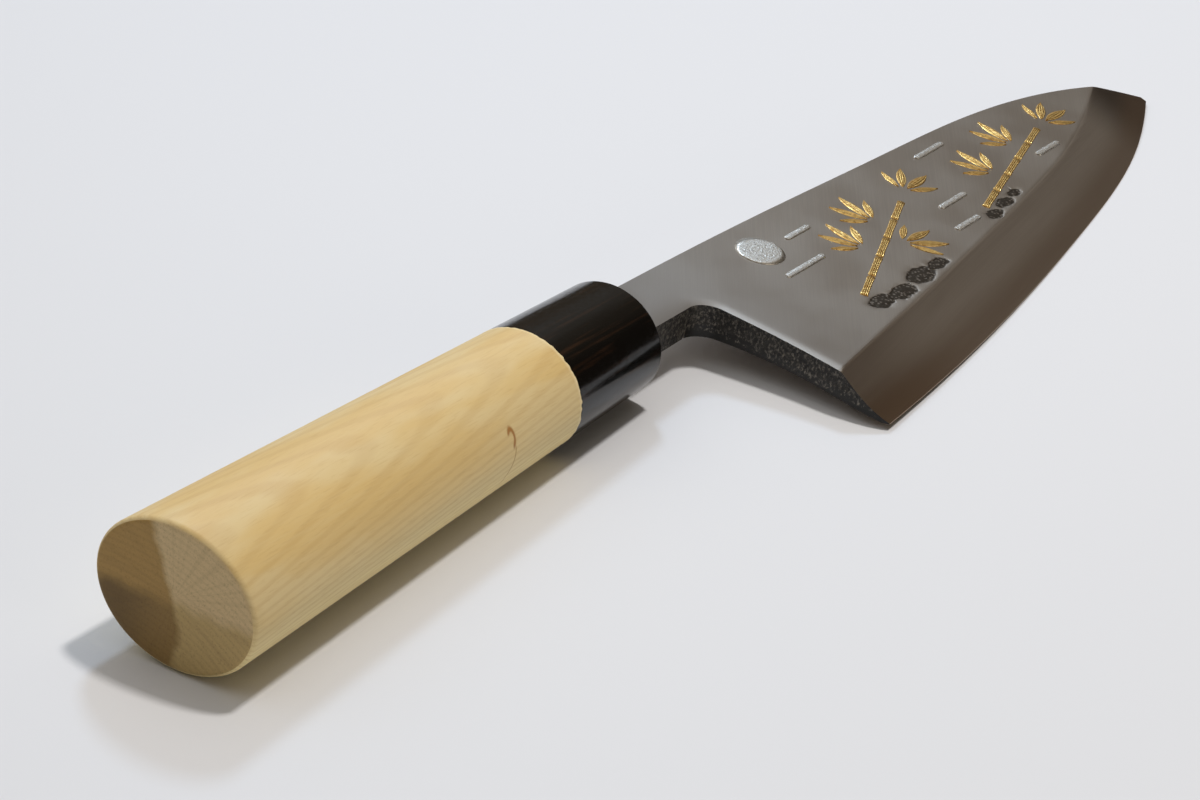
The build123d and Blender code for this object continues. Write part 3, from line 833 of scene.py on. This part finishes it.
root = neck_length - steel_root
steel_outline = np.vstack([spine_line[spine_line[:, 0] > root][::-1][tip_blunting:],
                           choil_line[choil_line[:, 0] >= root], edge_line[1:-tip_blunting]])
front_spots = grid_spots(steel_outline, [weld_inside], grid_step)
plan, faces = fill_plan(steel_outline, [weld_inside[1:-1]], front_spots)
top_z = np.minimum(ground_z(plan), lamination)
back, back_faces = fill_plan(steel_outline, [], grid_spots(steel_outline, [], grid_step))
paints = [*[BEVEL_STRIP] * len(faces), *[HOLLOW] * len(back_faces),
          *wall_paint(steel_outline, BAND, BEVEL_STRIP, STEEL_SPINE)]
steel = close_plate("hard_steel", np.c_[plan, top_z], faces, np.c_[back, back_z(back)], back_faces,
                    len(steel_outline), paints)

# Scaled steel: the smooth black oxide of the hard layer, with the iron's specks, 0.6 mm wide,
# only on the part next to the weld
band_specks, band_crust_per_mm = (-2.8, -2.1), 1.8

band, tree = new_material("smooth_scaled_steel")
place = knife_coordinates(tree)
tall = add_node(tree, "ShaderNodeSeparateXYZ", {"Vector": place}).outputs["Z"]
speck_place = add_node(tree, "ShaderNodeMapping", {"Vector": place, "Scale": speck_size},
                       vector_type="TEXTURE")
specks = add_node(tree, "ShaderNodeTexNoise", {
    "Vector": speck_place.outputs[0], "Scale": 1.0, "Detail": 5.0, "Roughness": 0.72}).outputs["Fac"]
crust = add_node(tree, "ShaderNodeTexNoise", {
    "Vector": place, "Scale": band_crust_per_mm, "Detail": 5.0}).outputs["Fac"]
on_top = all_of(tree, ((tall, *band_specks), (specks, speck_low, speck_high)))
tone = lay_colours(tree, paint(steel_band_colour), (
    (tall, *band_specks, 0.8, scale_colour),
    (crust, 0.58, 0.80, 0.3, scale_speck),
    (on_top, 0.0, 1.0, 1.0, scale_speck)))
finish_surface(tree, tone, (crust, 0.35, 0.50), (crust, 0.3, 0.05), metal=0.3)

for finish in (stoned, stoned, band, satin):
    steel.data.materials.append(finish)
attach(steel, "root")
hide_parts("edge_steel")


# Gold leaves: cut from sheet gold, hammered into undercut pockets of the flat, left a little
# proud and creased along the middle. As with all the inlay, one small model is set out over
# marked points.
proud, sunk, across_samples, crease_width = 0.25, 0.30, 9, 0.14
leaf_dome, leaf_crease, leaf_samples, leaf_blunting = 0.20, 0.07, 15, 0.02
leaf_tilt, setting_seed = math.radians(4), 5
leaf_length_share, leaf_width_share, leaf_start_share = 0.0507, 0.013, 0.0101
leaf_turns = (-48, -18, 14, 46)
leaf_sizes = (0.78, 1.0, 0.92, 0.70)
spray_shares = ((0.270, -0.096, 100), (0.321, -0.116, -20), (0.338, -0.070, 95), (0.439, -0.051, 20),
                (0.586, -0.099, 100), (0.676, -0.076, 95), (0.766, -0.068, 16))

# The flat's own frame, in which the design is laid out
flat_length = tip[0] - neck_length
flat_x = Vector((flat_length, 0, -tip_thinning)).normalized()
flat_normal = Vector((tip_thinning / flat_length, -bevel_thinning / blade_height, 1)).normalized()
flat_y = flat_normal.cross(flat_x)
flat_height = flat_z(np.array([[heel[0], 0.0]]))[0]
flat_turn = Matrix((flat_x, flat_y, flat_normal)).transposed().to_4x4()
flat_place = Matrix.Translation((heel[0], 0, flat_height)) @ flat_turn


def domed_piece(name, outline, dome, crease):
    """A small closed piece: its outline as half-widths along a length of one, domed across."""
    across = np.linspace(-1, 1, across_samples)
    crown = proud - dome * across ** 2 - crease * np.exp(-(across / crease_width) ** 2)
    stations = len(outline)
    rings = []
    for along, reach in outline:
        upper = [(along, reach * v, z) for v, z in zip(across, crown)]
        rings.append(upper + [(along, reach, -sunk), (along, -reach, -sunk)])
    count = len(rings[0])
    points = [point for ring in rings for point in ring]
    faces = [[i * count + j, (i + 1) * count + j, (i + 1) * count + (j + 1) % count,
              i * count + (j + 1) % count] for i in range(stations - 1) for j in range(count)]
    faces += [list(range(count)), list(reversed(range((stations - 1) * count, stations * count)))]
    mesh = bpy.data.meshes.new(name)
    mesh.from_pydata(points, [], faces)
    mesh.attributes.new("across", "FLOAT", "POINT").data.foreach_set(
        "value", [*across, 1, -1] * stations)
    mesh.polygons.foreach_set("use_smooth", [True] * len(faces))
    return bpy.data.objects.new(name, mesh)


def setting_tree():
    """Geometry nodes that set out one piece over points, with each point's turn and size."""
    made = bpy.data.node_groups.new("set_out_inlay", "GeometryNodeTree")
    made.interface.new_socket("Geometry", in_out="INPUT", socket_type="NodeSocketGeometry")
    made.interface.new_socket("Piece", in_out="INPUT", socket_type="NodeSocketObject")
    made.interface.new_socket("Finish", in_out="INPUT", socket_type="NodeSocketMaterial")
    made.interface.new_socket("Tilt", in_out="INPUT", socket_type="NodeSocketFloat")
    made.interface.new_socket("Seed", in_out="INPUT", socket_type="NodeSocketInt")
    made.interface.new_socket("Geometry", in_out="OUTPUT", socket_type="NodeSocketGeometry")
    given = add_node(made, "NodeGroupInput")
    turn = add_node(made, "GeometryNodeInputNamedAttribute", {"Name": "turn"}, data_type="FLOAT_VECTOR")
    size = add_node(made, "GeometryNodeInputNamedAttribute", {"Name": "size"}, data_type="FLOAT_VECTOR")
    less = add_node(made, "ShaderNodeMath", {0: given.outputs["Tilt"], 1: -1.0}, operation="MULTIPLY")
    tilt = add_node(made, "FunctionNodeRandomValue", {
        "Min": less.outputs[0], "Max": given.outputs["Tilt"], "Seed": given.outputs["Seed"]},
        data_type="FLOAT")
    lean = add_node(made, "ShaderNodeCombineXYZ", {"X": tilt.outputs[1]})
    leaned = add_node(made, "ShaderNodeVectorMath", {0: turn.outputs[0], 1: lean.outputs[0]})
    piece = add_node(made, "GeometryNodeObjectInfo", {"Object": given.outputs["Piece"]})
    placed = add_node(made, "GeometryNodeInstanceOnPoints", {
        "Points": given.outputs["Geometry"], "Instance": piece.outputs["Geometry"],
        "Rotation": leaned.outputs[0], "Scale": size.outputs[0]})
    real = add_node(made, "GeometryNodeRealizeInstances", {"Geometry": placed.outputs[0]})
    coated = add_node(made, "GeometryNodeSetMaterial", {
        "Geometry": real.outputs[0], "Material": given.outputs["Finish"]})
    add_node(made, "NodeGroupOutput", {"Geometry": coated.outputs[0]})
    return made


inlay_tree = setting_tree()


def set_out(name, piece, finish, marks, tilt):
    """Sets out a piece over marks on the flat: place, turn in degrees, and length and width."""
    mesh = bpy.data.meshes.new(name + "_marks")
    mesh.from_pydata([(x, y, 0) for x, y, *_ in marks], [], [])
    turns = [v for mark in marks for v in (0, 0, math.radians(mark[2]))]
    sizes = [v for mark in marks for v in (mark[3], mark[4], 1)]
    mesh.attributes.new("turn", "FLOAT_VECTOR", "POINT").data.foreach_set("vector", turns)
    mesh.attributes.new("size", "FLOAT_VECTOR", "POINT").data.foreach_set("vector", sizes)
    carrier = bpy.data.objects.new(name + "_marks", mesh)
    bpy.context.scene.collection.objects.link(carrier)
    setter = carrier.modifiers.new("set_out", "NODES")
    setter.node_group = inlay_tree
    values = {"Piece": piece, "Finish": finish, "Tilt": tilt, "Seed": setting_seed}
    for socket in inlay_tree.interface.items_tree:
        if socket.in_out == "INPUT" and socket.name in values:
            setter[socket.identifier] = values[socket.name]
    bpy.context.view_layer.update()
    seen = carrier.evaluated_get(bpy.context.evaluated_depsgraph_get())
    made = bpy.data.objects.new(name, bpy.data.meshes.new_from_object(seen))
    made.data.transform(knife_frame @ flat_place)
    bpy.context.scene.collection.objects.link(made)
    bpy.data.objects.remove(carrier)
    bpy.data.objects.remove(piece)
    return made


# Burnished gold: a soft warm gloss, duller and browner in patches of 0.8 mm, with four graver
# lines along each piece, about half a millimetre apart
gold_colour, gold_shadow = "FBD283", "C28E4A"
graver_turns, wear_share, patches_per_mm = 13.0, 2.0, 1.2

gold, tree = new_material("burnished_gold")
place = knife_coordinates(tree)
across = add_node(tree, "ShaderNodeAttribute", attribute_name="across").outputs["Fac"]
worn = add_node(tree, "ShaderNodeTexNoise", {
    "Vector": place, "Scale": patches_per_mm, "Detail": 4.0}).outputs["Fac"]
graver = add_node(tree, "ShaderNodeMath", {0: across, 1: graver_turns}, operation="MULTIPLY").outputs[0]
graver = add_node(tree, "ShaderNodeMath", {0: graver}, operation="SINE").outputs[0]
cut = add_node(tree, "ShaderNodeMath", {0: worn, 1: wear_share, 2: graver},
               operation="MULTIPLY_ADD").outputs[0]
tone = lay_colours(tree, paint(gold_colour), ((worn, 0.48, 0.66, 0.75, gold_shadow),))
finish_surface(tree, tone, (worn, 0.32, 0.50), (cut, 0.7, 0.08), metal=1.0)

leaf_outline = [(along, (1 - (2 * along - 1) ** 2) / 2 + leaf_blunting)
                for along in np.linspace(0, 1, leaf_samples)]
leaf = domed_piece("leaf", leaf_outline, leaf_dome, leaf_crease)
marks = []
for x_share, y_share, turn in spray_shares:
    for lean, size in zip(leaf_turns, leaf_sizes):
        heading = math.radians(turn + lean)
        start = leaf_start_share * design_length
        marks.append((x_share * design_length + start * math.cos(heading),
                      y_share * design_length + start * math.sin(heading), turn + lean,
                      leaf_length_share * size * design_length, leaf_width_share * size * design_length))
leaves = set_out("gold_leaves", leaf, gold, marks, leaf_tilt)
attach(leaves, "root")
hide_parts("leaf_inlay")


# Gold culms: the bamboo's stems, each of five short strips of gold wire flattened into a groove
# of the flat, end to end, and swelling towards their joints.
stem_width_share, segment_share, joint_share = 0.0096, 0.0484, 0.0039
stem_shares = ((0.169, -0.152, 20, 5), (0.495, -0.135, 14, 5))
culm_waist, culm_swell, culm_dome, culm_samples = 0.44, 0.06, 0.18, 9

culm_outline = [(along, culm_waist + culm_swell * abs(2 * along - 1) ** 3)
                for along in np.linspace(0, 1, culm_samples)]
segment = domed_piece("segment", culm_outline, culm_dome, 0.0)
marks = []
for x_share, y_share, turn, segments in stem_shares:
    for step in range(segments):
        travel = (segment_share + joint_share) * step
        marks.append(((x_share + travel * math.cos(math.radians(turn))) * design_length,
                      (y_share + travel * math.sin(math.radians(turn))) * design_length, turn,
                      segment_share * design_length, stem_width_share * design_length))
culms = set_out("gold_culms", segment, gold, marks, 0.0)
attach(culms, "root")
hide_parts("stem_inlay")


# Silver moon: one round plate cut from sheet silver, hammered into its pocket in the flat and
# burnished. It is very slightly domed.
moon_radius_share, moon_share = 0.0293, (0.152, -0.022)
silver_dome, disc_samples, disc_blunting = 0.10, 25, 0.004
silver_colour, silver_shadow, tarnish_per_mm = "F0EBE2", "A8A298", 2.5

# Burnished silver: pale and softly shiny, with a fine grey tarnish in grains of 0.4 mm
silver, tree = new_material("burnished_silver")
place = knife_coordinates(tree)
grain = add_node(tree, "ShaderNodeTexNoise", {
    "Vector": place, "Scale": tarnish_per_mm, "Detail": 4.0}).outputs["Fac"]
tone = lay_colours(tree, paint(silver_colour), ((grain, 0.48, 0.70, 1.0, silver_shadow),))
finish_surface(tree, tone, (grain, 0.30, 0.50), (grain, 0.8, 0.12), metal=1.0)

turns = np.linspace(0, math.pi, disc_samples)
disc_outline = [((1 - math.cos(t)) / 2, math.sin(t) / 2 + disc_blunting) for t in turns]
disc = domed_piece("disc", disc_outline, silver_dome, 0.0)
moon_radius = moon_radius_share * design_length
marks = [(moon_share[0] * design_length - moon_radius, moon_share[1] * design_length, 0,
          2 * moon_radius, 2 * moon_radius)]
moon = set_out("silver_moon", disc, silver, marks, 0.0)
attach(moon, "root")
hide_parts("moon_inlay")


# Silver mist: thin round-ended bars cut from sheet silver, let into the flat along the blade.
# They are set and finished as the moon is.
mist_width_share = 0.0084
mist_shares = ((0.169, -0.073, 0.084), (0.231, -0.025, 0.051), (0.473, -0.101, 0.062),
               (0.563, -0.017, 0.068), (0.709, -0.107, 0.056), (0.439, -0.141, 0.056))
round_end, end_samples, bar_blunting = 0.06, 7, 0.01

turns = np.linspace(0, math.pi / 2, end_samples)
half_bar = [(round_end * (1 - math.cos(t)), math.sin(t) / 2 + bar_blunting) for t in turns]
bar_outline = half_bar + [(1 - along, reach) for along, reach in reversed(half_bar)]
bar = domed_piece("bar", bar_outline, silver_dome, 0.0)
marks = [((x_share - length_share / 2) * design_length, y_share * design_length, 0,
          length_share * design_length, mist_width_share * design_length)
         for x_share, y_share, length_share in mist_shares]
mist = set_out("silver_mist", bar, silver, marks, 0.0)
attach(mist, "root")
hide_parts("mist_inlay")
